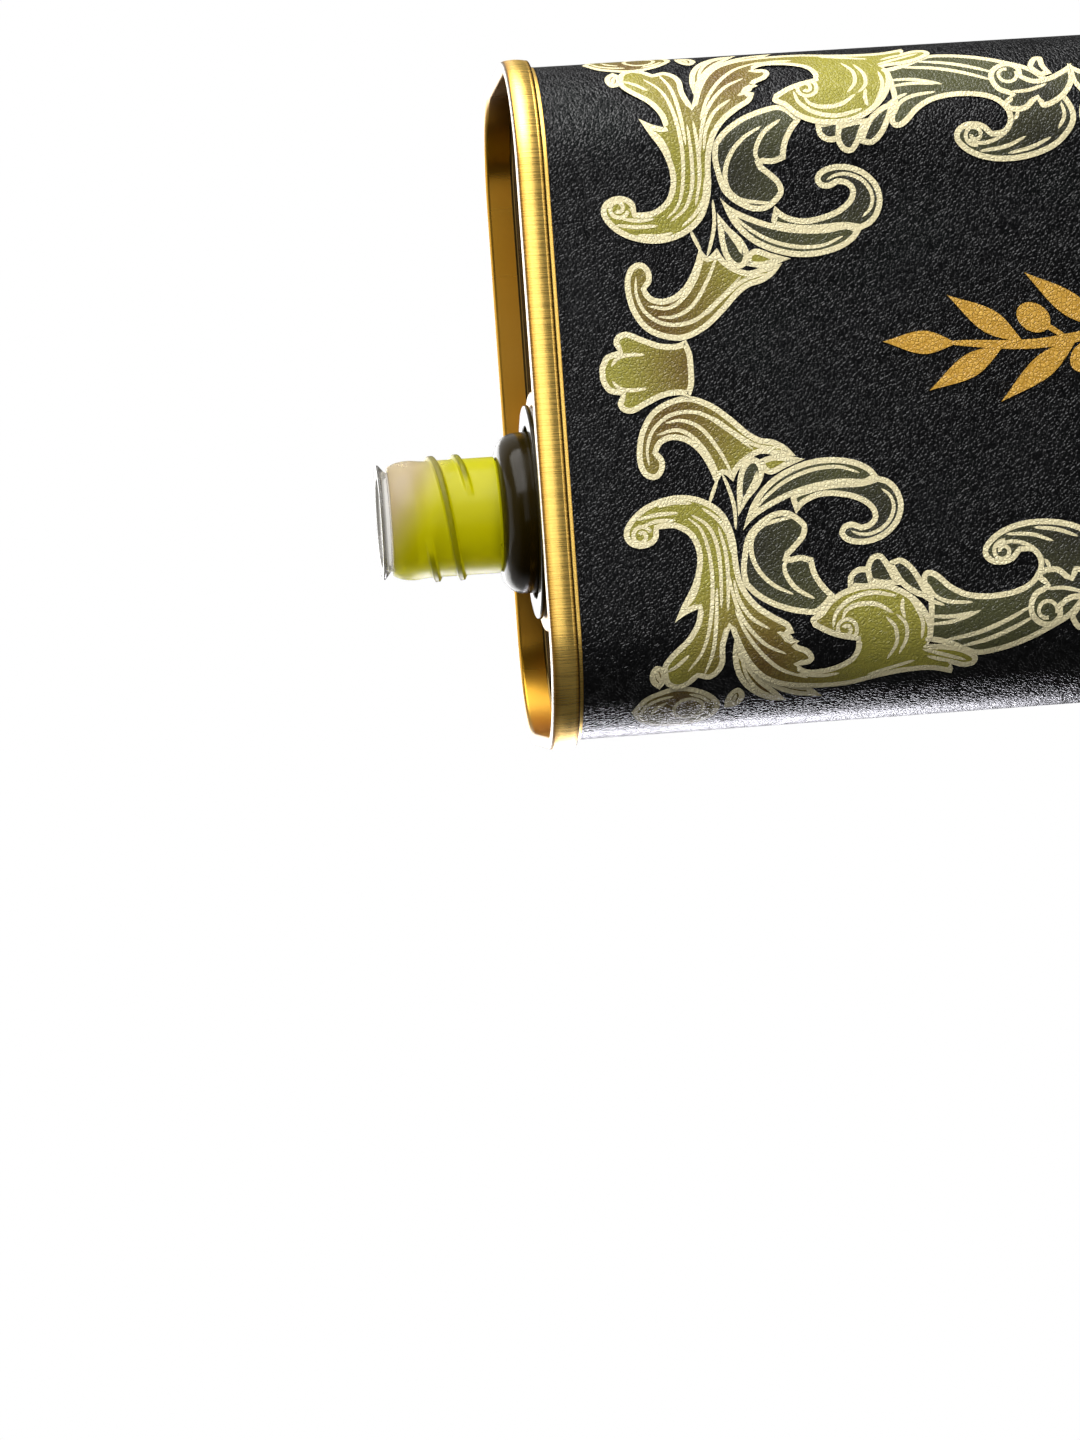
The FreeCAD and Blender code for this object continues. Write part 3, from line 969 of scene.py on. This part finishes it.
def ornament(drawings, back):
    """Printed leaves of one broad side by tone, and the lines over them."""
    side = "back" if back else "front"
    sheets = {"olive": [], "dark": [], "line": []}
    shades = {"olive": [], "dark": []}
    for drawing in drawings:
        start, end = drawing["shade"]
        spots, triangles = drawing["fill"]
        tones = [min((spot - start).length / (end - start).length, 1) for spot in spots]
        for mirrored in drawing["mirrored"]:
            for lower in (False, True):
                places = [laid(spot, mirrored, lower, back) for spot in spots]
                sheets[drawing["tone"]].append((places, triangles, drawing["lift"]))
                shades[drawing["tone"]] += tones * 2
                for rank, (line_spots, quads) in enumerate(drawing["lines"]):
                    places = [laid(spot, mirrored, lower, back) for spot in line_spots]
                    lift = line_lift + line_layers * rank / len(drawing["lines"])
                    sheets["line"].append((places, quads, drawing["lift"] + lift))
    pieces = {tone: film(f"ornament_{side}_{tone}", tone_sheets) for tone, tone_sheets in sheets.items()}
    for tone, values in shades.items():
        attribute = pieces[tone].data.attributes.new("shade", "FLOAT", "POINT")
        attribute.data.foreach_set("value", values)
    return pieces


def sprig_leaf(foot, tip):
    """Fill of a slender pointed leaf between two places."""
    along = tip - foot
    aside = Vector((-along.y, along.x)).normalized() * (sprig_leaf_width / 2)
    belly = foot + along * sprig_belly_share
    return filled(smooth_run([foot, belly + aside, tip])[:-1] + smooth_run([tip, belly - aside, foot])[:-1])


def olive_fruit(foot, middle):
    """Fill of an olive that hangs on its stalk from a place."""
    along = (middle - foot).normalized() * (olive_length / 2)
    aside = Vector((-along.y, along.x)) * (olive_width / olive_length)
    turns = [math.tau * step / olive_points for step in range(olive_points)]
    return filled([middle + along * math.cos(turn) + aside * math.sin(turn) for turn in turns])


def sprig(back):
    """Plain olive sprig in raised gold print in the middle of a broad side."""
    parts = [ribbon(smooth_run(STEM), stem_width)]
    for places in SPRIG_LEAVES:
        parts.append(sprig_leaf(*map(Vector, places)))
    for places in OLIVES:
        foot, middle = map(Vector, places)
        parts += [ribbon(smooth_run([foot, middle]), stalk_width), olive_fruit(foot, middle)]
    middle = print_middle + print_lean_share * tin_height / 2
    sheets = []
    for order, (places, faces) in enumerate(parts):
        places = [laid((sprig_foot - up, middle + aside), False, False, back) for up, aside in places]
        sheets.append((places, [face[::-1] for face in faces], sprig_height + order * sprig_layer))
    return film(f"olive_sprig_{'back' if back else 'front'}", sheets, sprig_height)


def margin(name, low, high):
    """Bare strip of the sheet between a seam and the print."""
    under = print_lift - print_film
    section = ((under, low), (print_lift, low), (print_lift, high), (under, high))
    return grid_piece(name, [rim_row(out, height) for out, height in section], rounds=STATIONS)


# Materials

def shader(name):
    """New material with its node tree and its main shader."""
    material = bpy.data.materials.new(name)
    material.use_nodes = True
    return material, material.node_tree, material.node_tree.nodes["Principled BSDF"]


def plug(tree, socket, value):
    """Give a socket its value, or link it where the value is another node's socket."""
    if isinstance(value, bpy.types.NodeSocket):
        tree.links.new(value, socket)
    else:
        socket.default_value = value


def fill(tree, node, *inputs, **values):
    """Set or link a node's named properties and inputs, and its first inputs in their order."""
    for key, value in values.items():
        if hasattr(node, key):
            setattr(node, key, value)
        else:
            plug(tree, node.inputs[key.replace("_", " ")], value)
    for socket, value in zip(node.inputs, inputs):
        plug(tree, socket, value)
    return node


def add(tree, kind, *inputs, **values):
    """New node with its properties and inputs set."""
    return fill(tree, tree.nodes.new(kind), *inputs, **values)


def object_place(tree):
    """Place on the piece, in metres."""
    return add(tree, "ShaderNodeTexCoord").outputs["Object"]


def split(tree, place):
    """X, Y and Z of a place or direction."""
    return add(tree, "ShaderNodeSeparateXYZ", place).outputs


def sums(tree, operation, *inputs):
    """Result of a sum on sockets or numbers."""
    return add(tree, "ShaderNodeMath", *inputs, operation=operation).outputs["Value"]


def vector_sums(tree, operation, *inputs, **values):
    """Results of a sum on places or colours."""
    return add(tree, "ShaderNodeVectorMath", *inputs, operation=operation, **values).outputs


def varied(tree, value, pattern, amount):
    """Value made a little higher or lower by a pattern that goes from 0 to 1."""
    return sums(tree, "MULTIPLY_ADD", sums(tree, "SUBTRACT", pattern, 0.5), amount, value)


def spread(tree, source, low, high, start=0.0, end=1.0, smooth=True):
    """Value that goes from start to end while its source goes from low to high."""
    kind = "SMOOTHSTEP" if smooth else "LINEAR"
    node = add(tree, "ShaderNodeMapRange", source, low, high, start, end, interpolation_type=kind)
    return node.outputs["Result"]


def ramp(tree, source, stops):
    """Colour ramp over (place, colour) stops, fed by a value."""
    node = add(tree, "ShaderNodeValToRGB", source)
    while len(node.color_ramp.elements) < len(stops):
        node.color_ramp.elements.new(0.5)
    for element, (place, colour) in zip(node.color_ramp.elements, stops):
        element.position = place
        element.color = (*colour, 1)
    return node.outputs["Color"]


def noise(tree, place, scale, detail=3.0, roughness=0.6):
    """Cloudy pattern from 0 to 1."""
    node = add(tree, "ShaderNodeTexNoise", Vector=place, Scale=scale, Detail=detail, Roughness=roughness)
    return node.outputs["Fac"]


def stretched(tree, place, scale):
    """Places with each axis scaled on its own, for a pattern that runs one way."""
    return add(tree, "ShaderNodeMapping", Vector=place, Scale=scale).outputs["Vector"]


def relief(tree, principled, height, strength, depth):
    """Fine relief of a surface from a height."""
    bump = add(tree, "ShaderNodeBump", Strength=strength, Distance=depth * METRES, Height=height)
    fill(tree, principled, Normal=bump.outputs["Normal"])


def leather_grain(tree, principled):
    """Leather grain of the printed sheet: flat pebbles between narrow grooves; returns its height."""
    place = object_place(tree)
    wander = add(tree, "ShaderNodeTexNoise", Vector=place, Scale=1420.0, Detail=2.0).outputs["Color"]
    moved = vector_sums(tree, "MULTIPLY_ADD", wander, [grain_wander * METRES] * 3, place)["Vector"]
    pebbles = add(tree, "ShaderNodeTexVoronoi", feature="DISTANCE_TO_EDGE", Vector=moved, Scale=2100.0)
    tops = spread(tree, pebbles.outputs["Distance"], low=0.0, high=groove_share)
    depth = spread(tree, noise(tree, place, scale=760.0, detail=2.0), low=0.35, high=0.65, start=0.5)
    grain = sums(tree, "MULTIPLY", tops, depth)
    relief(tree, principled, grain, strength=1.0, depth=grain_depth)
    return grain


def lacquer(name, stops, source=None, roughness=0.22):
    """Satin lacquer print over the leather grain, coloured by the grain or by an attribute of the piece."""
    material, tree, principled = shader(name)
    grain = leather_grain(tree, principled)
    value = grain
    if source:
        shade = add(tree, "ShaderNodeAttribute", attribute_name=source).outputs["Fac"]
        value = varied(tree, shade, grain, amount=0.15)
    rough = spread(tree, grain, 0.0, 1.0, roughness - roughness_spread, roughness + roughness_spread)
    fill(tree, principled, Base_Color=ramp(tree, value, stops), Roughness=rough, Specular_IOR_Level=0.28)
    return material


def brushed_gold(name):
    """Gold lacquer on the rolled seam: hairlines across the band, darker at its bends as painted shade, and
    pale on its crest as a painted highlight.
    """
    # The darkest stops are painted shade at the seam's foot and its top bend; the palest stop is a painted
    # highlight on the crest.
    shade_brown, amber, gold = (0.14, 0.07, 0.014), (0.57, 0.307, 0.049), (0.93, 0.61, 0.145)
    pale = (0.95, 0.92, 0.86)
    stops = [(0.0, amber), (0.04, gold), (0.09, gold), (0.12, shade_brown), (0.15, shade_brown), (0.20, amber),
             (0.27, gold), (0.74, gold), (0.88, amber), (0.95, shade_brown), (0.995, pale)]
    material, tree, principled = shader(name)
    strip = add(tree, "ShaderNodeUVMap", uv_map="strip").outputs["UV"]
    hairs = noise(tree, stretched(tree, strip, hairline_stretch), scale=1.0, detail=4.0, roughness=0.7)
    middle = tin_height / 2 * METRES
    height = split(tree, object_place(tree))["Z"]
    off = sums(tree, "ABSOLUTE", sums(tree, "SUBTRACT", height, middle))
    band = spread(tree, off, middle - (seam_height + margin_height) * METRES, middle, smooth=False)
    colour = ramp(tree, varied(tree, band, hairs, amount=0.06), stops)
    tones = spread(tree, hairs, low=0.35, high=0.65, start=0.80, end=1.05)
    brushed = vector_sums(tree, "SCALE", Vector=colour, Scale=tones)["Vector"]
    rough = spread(tree, hairs, low=0.3, high=0.7, start=0.24, end=0.36)
    tangent = add(tree, "ShaderNodeTangent", direction_type="UV_MAP", uv_map="strip").outputs["Tangent"]
    relief(tree, principled, hairs, strength=0.5, depth=hairline_depth)
    fill(tree, principled, Base_Color=brushed, Roughness=rough, Tangent=tangent, Anisotropic=0.6,
         Metallic=0.92)
    return material


def smooth_gold(name, stops, roughness):
    """Gold lacquer on pressed sheet inside the seam, with faint drawing marks."""
    material, tree, principled = shader(name)
    place = object_place(tree)
    marks = noise(tree, stretched(tree, place, drawing_stretch), scale=60.0, detail=2.0)
    rough = spread(tree, marks, low=0.3, high=0.7, start=roughness - roughness_spread,
                   end=roughness + roughness_spread)
    relief(tree, principled, noise(tree, place, scale=900.0), strength=0.05, depth=drawing_depth)
    fill(tree, principled, Base_Color=ramp(tree, marks, stops), Roughness=rough, Metallic=1.0)
    return material


def clear_plastic(name, tint, mouth_tint, roughness, clearness, gloss, fade=neck_fade,
                  lean_share=neck_lean_share):
    """Translucent moulded plastic whose tint fades towards the mouth, and is deeper in the thread from
    thicker plastic and partly as painted shade; a dark mouth tint is painted shade at a lip's edge.
    """
    material, tree, principled = shader(name)
    place = object_place(tree)
    parts = split(tree, place)
    lean = sums(tree, "MULTIPLY_ADD", parts["X"], lean_share, parts["Z"])
    faded = spread(tree, lean, *(height * METRES for height in fade))
    tints = ramp(tree, faded, [(0.0, tint), (1.0, mouth_tint)])
    axis = add(tree, "ShaderNodeCombineXYZ", X=spout_x * METRES, Z=parts["Z"]).outputs["Vector"]
    reach = vector_sums(tree, "DISTANCE", place, axis)["Value"]
    # The thread's deeper tint is partly thicker plastic and partly painted shade that sets its ridges off.
    ridge = [(bulge_radius + rise) * METRES for rise in ridge_rises]
    deeper = spread(tree, reach, *ridge, start=1.0, end=ridge_tint_share)
    colour = vector_sums(tree, "SCALE", Vector=tints, Scale=deeper)["Vector"]
    flow = noise(tree, place, scale=260.0, detail=2.0)
    rough = spread(tree, flow, 0.0, 1.0, *(roughness * share for share in flow_shares))
    relief(tree, principled, flow, strength=0.06, depth=flow_depth)
    fill(tree, principled, Base_Color=colour, Roughness=rough, Transmission_Weight=clearness, IOR=1.25,
         Specular_IOR_Level=gloss)
    return material


def sealing_rubber():
    """Dull grey sealing rubber with a fine speckle."""
    material, tree, principled = shader("sealing_rubber_speckle")
    speckle = noise(tree, object_place(tree), scale=1500.0)
    colour = ramp(tree, speckle, [(0.3, (0.18, 0.17, 0.16)), (0.7, (0.30, 0.29, 0.26))])
    relief(tree, principled, speckle, strength=0.2, depth=speckle_depth)
    fill(tree, principled, Base_Color=colour, Roughness=0.75)
    return material


# Stage, with the floor and the lamps in metres

def seen_rays(tree, path):
    """One for rays from the camera and through clear plastic, and zero for others."""
    return sums(tree, "MAXIMUM", path["Is Camera Ray"], path["Is Transmission Ray"])


def pale_floor():
    """Pale floor that keeps a soft shadow near the tin, is white further out and dim in the tin's gloss."""
    half = 1.6
    mesh = bpy.data.meshes.new("floor")
    corners = [(-half, -half, 0), (half, -half, 0), (half, half, 0), (-half, half, 0)]
    mesh.from_pydata(corners, [], [(0, 1, 2, 3)])
    floor = bpy.data.objects.new("floor", mesh)
    bpy.context.scene.collection.objects.link(floor)
    material, tree, principled = shader("pale_floor")
    fill(tree, principled, Base_Color=(0.9, 0.9, 0.9, 1), Roughness=0.9)
    glow = add(tree, "ShaderNodeEmission").outputs["Emission"]
    dim = add(tree, "ShaderNodeEmission", Strength=0.08).outputs["Emission"]
    reach = vector_sums(tree, "LENGTH", object_place(tree))["Value"]
    paler = spread(tree, reach, low=0.08, high=0.26, start=0.6)
    shown = add(tree, "ShaderNodeMixShader", paler, principled.outputs["BSDF"], glow).outputs["Shader"]
    seen = seen_rays(tree, add(tree, "ShaderNodeLightPath").outputs)
    surface = add(tree, "ShaderNodeMixShader", seen, dim, shown).outputs["Shader"]
    fill(tree, tree.nodes["Material Output"], Surface=surface)
    mesh.materials.append(material)


def surround():
    """White surround; mirrored, it is dark in front and straight behind, and bright in between and above."""
    world = bpy.data.worlds.new("surround")
    bpy.context.scene.world = world
    world.use_nodes = True
    tree = world.node_tree
    path = add(tree, "ShaderNodeLightPath").outputs
    parts = split(tree, add(tree, "ShaderNodeTexCoord").outputs["Generated"])
    behind = spread(tree, parts["Y"], low=0.1, high=0.5, start=0.03, end=0.9)
    straight = spread(tree, parts["Y"], low=0.88, high=0.96, start=1.0, end=0.1)
    above = spread(tree, parts["Z"], low=0.35, high=0.75, start=0.03, end=0.45)
    bright = sums(tree, "MAXIMUM", above, sums(tree, "MULTIPLY", behind, straight))
    mirrored = sums(tree, "MULTIPLY", bright, path["Is Glossy Ray"])
    soft = sums(tree, "MULTIPLY", path["Is Diffuse Ray"], surround_share)
    level = sums(tree, "MAXIMUM", sums(tree, "MAXIMUM", seen_rays(tree, path), mirrored), soft)
    fill(tree, tree.nodes["Background"], Strength=level, Color=(1, 1, 1, 1))


def soft_light(name, place, aim, width, height, power, colour=(1, 1, 1)):
    """Lamp with a broad face that the camera doesn't see."""
    lamp = bpy.data.lights.new(name, "AREA")
    lamp.shape = "RECTANGLE"
    lamp.size = width
    lamp.size_y = height
    lamp.energy = power
    lamp.color = colour
    light = bpy.data.objects.new(name, lamp)
    light.location = place
    light.rotation_euler = (Vector(aim) - Vector(place)).to_track_quat("-Z", "Y").to_euler()
    light.visible_camera = False
    light.visible_transmission = False
    bpy.context.scene.collection.objects.link(light)


def studio_lights():
    """Large lamp at one side, small ones in front and low behind, and soft ones above and behind."""
    soft_light("side", place=(1.2, -0.535, 0.22), aim=(0, 0, 0.09), width=1.88, height=1.88, power=97.0)
    soft_light("front", place=(0.1095, -0.085, 0.138), aim=(0.1095, 0, 0.138), width=0.281, height=0.03,
               power=0.042)
    soft_light("low", place=(-0.241, 0.278, 0.055), aim=(-0.04, -0.02, 0.055), width=0.18, height=0.17,
               power=0.90, colour=(0.93, 0.92, 1.0))
    soft_light("top", place=(0, 0.1, 0.9), aim=(0, 0, 0.1), width=0.7, height=0.7, power=4.0)
    soft_light("back", place=(-0.1, 0.9, 0.51), aim=(0, 0, 0.51), width=0.8, height=0.64, power=6.0)


def camera():
    """Camera of the photograph: a long lens that looks at the front, with the tin's top to the left."""
    turn = Vector(camera_turn) * math.radians(1)
    axes = Matrix.Rotation(turn.length, 3, turn.normalized()) @ Matrix(((0, 0, -1), (-1, 0, 0), (0, 1, 0)))
    lens = bpy.data.cameras.new("camera")
    lens.lens = 100.0
    lens.sensor_width = 36.0
    lens.clip_start = 0.01
    viewer = bpy.data.objects.new("camera", lens)
    turned_axes = Matrix((axes[0], -axes[1], -axes[2])).transposed()
    place = axes.transposed() @ (Vector(camera_shift) * -METRES)
    viewer.matrix_world = Matrix.Translation(place) @ turned_axes.to_4x4()
    bpy.context.scene.collection.objects.link(viewer)
    bpy.context.scene.camera = viewer


# Putting it together

def beyond_wall(point):
    """Distance of a place outside the body wall."""
    corner = Vector((max(abs(point.x) / METRES - flat_x, 0), max(abs(point.y) / METRES - flat_y, 0)))
    return corner.length - corner_radius


def dress(piece, body, slot, nodes, *materials):
    """Give a piece its body and materials, and let it stand for its CAD nodes; slot is not used."""
    for material in materials:
        piece.data.materials.append(material)
    if body:
        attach(piece, body)
    if nodes:
        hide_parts(*nodes)
    return piece


def share_golds(piece):
    """Brushed gold outside the seam, smooth gold darkened as painted shade on the walls inside it, and
    near-black gold as painted shade on the flat panel and the deep part of the walls.
    """
    for face in piece.data.polygons:
        inner = beyond_wall(face.center) < cover_hook_out
        height = face.center.z / METRES
        shallow = min(height, tin_height - height) < wall_share * panel_depth
        face.material_index = (1 if shallow else 2) if inner else 0


def dress_tin():
    """Body, ends, bare margins, ornament and sprigs."""
    black = lacquer("black_lacquer_grain", [(0.3, (0.0020, 0.0020, 0.0022)), (1.0, (0.006, 0.006, 0.0066))])
    olive = lacquer("print_olive", [(0.0, (0.115, 0.069, 0.019)), (0.5, (0.198, 0.158, 0.034)),
                                    (1.0, (0.267, 0.244, 0.042))], "shade")
    dark = lacquer("print_dark", [(0.0, (0.026, 0.025, 0.017)), (1.0, (0.068, 0.069, 0.030))], "shade")
    cream = lacquer("print_cream", [(0.3, (0.69, 0.61, 0.37)), (1.0, (0.78, 0.71, 0.45))])
    foil = lacquer("print_gold", [(0.3, (0.46, 0.25, 0.035)), (1.0, (0.66, 0.39, 0.075))], roughness=0.3)
    band = brushed_gold("gold_lacquer_brushed")
    # The walls' smooth gold is darker than the band as painted shade inside the seam; the panel's near-black
    # gold is painted shade in the recess.
    gold = smooth_gold("gold_lacquer_smooth", [(0.3, (0.26, 0.133, 0.012)), (0.7, (0.345, 0.185, 0.025))],
                       roughness=0.30)
    panel_shade = smooth_gold("gold_lacquer_panel_shade", [(0.3, (0.060, 0.037, 0.010)), (0.7, (0.078, 0.048, 0.013))],
                         roughness=0.20)
    dress(tin_body(), "tin", "black_lacquer", ["can_body"], black)
    share_golds(dress(lid(), "tin", "gold_lacquer", ["top_end"], band, gold, panel_shade))
    share_golds(dress(base(), "tin", "gold_lacquer", ["bottom_end"], band, gold, panel_shade))
    for name, low in (("top", tin_height - seam_height - margin_height), ("bottom", seam_height)):
        dress(margin(f"bare_margin_{name}", low, low + margin_height), "tin", "gold_lacquer", [], band)
    drawings = drawn_leaves()
    for back in (False, True):
        pieces = ornament(drawings, back)
        for tone, material in (("olive", olive), ("dark", dark), ("line", cream)):
            dress(pieces[tone], "tin", "black_lacquer", [], material)
        dress(sprig(back), "tin", "gold_lacquer", [], foil)


def dress_spout():
    """Collar, neck, mouth ring and the bell that rolls between tin and spout."""
    yellow = clear_plastic("clear_plastic_tinted", tint=(0.72, 0.69, 0.001), mouth_tint=(0.66, 0.54, 0.34),
                           roughness=0.35, clearness=0.75, gloss=0.3)
    # The clear ring's dark mouth tint is painted shade along the edge of its lip.
    clear = clear_plastic("clear_plastic_plain", tint=(0.86, 0.84, 0.80), mouth_tint=(0.24, 0.23, 0.21),
                          roughness=0.08, clearness=0.85, gloss=0.5, fade=lip_shade_heights, lean_share=0)
    smoke = (0.070, 0.045, 0.003)
    smoky = clear_plastic("clear_plastic_smoky", tint=smoke, mouth_tint=smoke, roughness=0.2, clearness=0.6,
                          gloss=0.08)
    dress(collar(), "tin", "clear_plastic", ["spout_collar"], smoky)
    dress(neck(), "spout", "clear_plastic", ["spout_neck"], yellow)
    dress(mouth_ring(), "spout", "clear_plastic", ["pour_ring"], clear)
    bell = dress(diaphragm(), None, "clear_plastic", ["spout_diaphragm"], smoky)
    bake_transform(bell)


def dress_rubber():
    """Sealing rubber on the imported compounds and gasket."""
    rubber = sealing_rubber()
    for node in ("top_seam_compound", "bottom_seam_compound", "spout_seal"):
        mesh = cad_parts[node].data
        mesh.materials.clear()
        mesh.materials.append(rubber)


dress_tin()
dress_spout()
dress_rubber()
pale_floor()
surround()
studio_lights()
camera()
bpy.context.scene.view_settings.view_transform = "Standard"
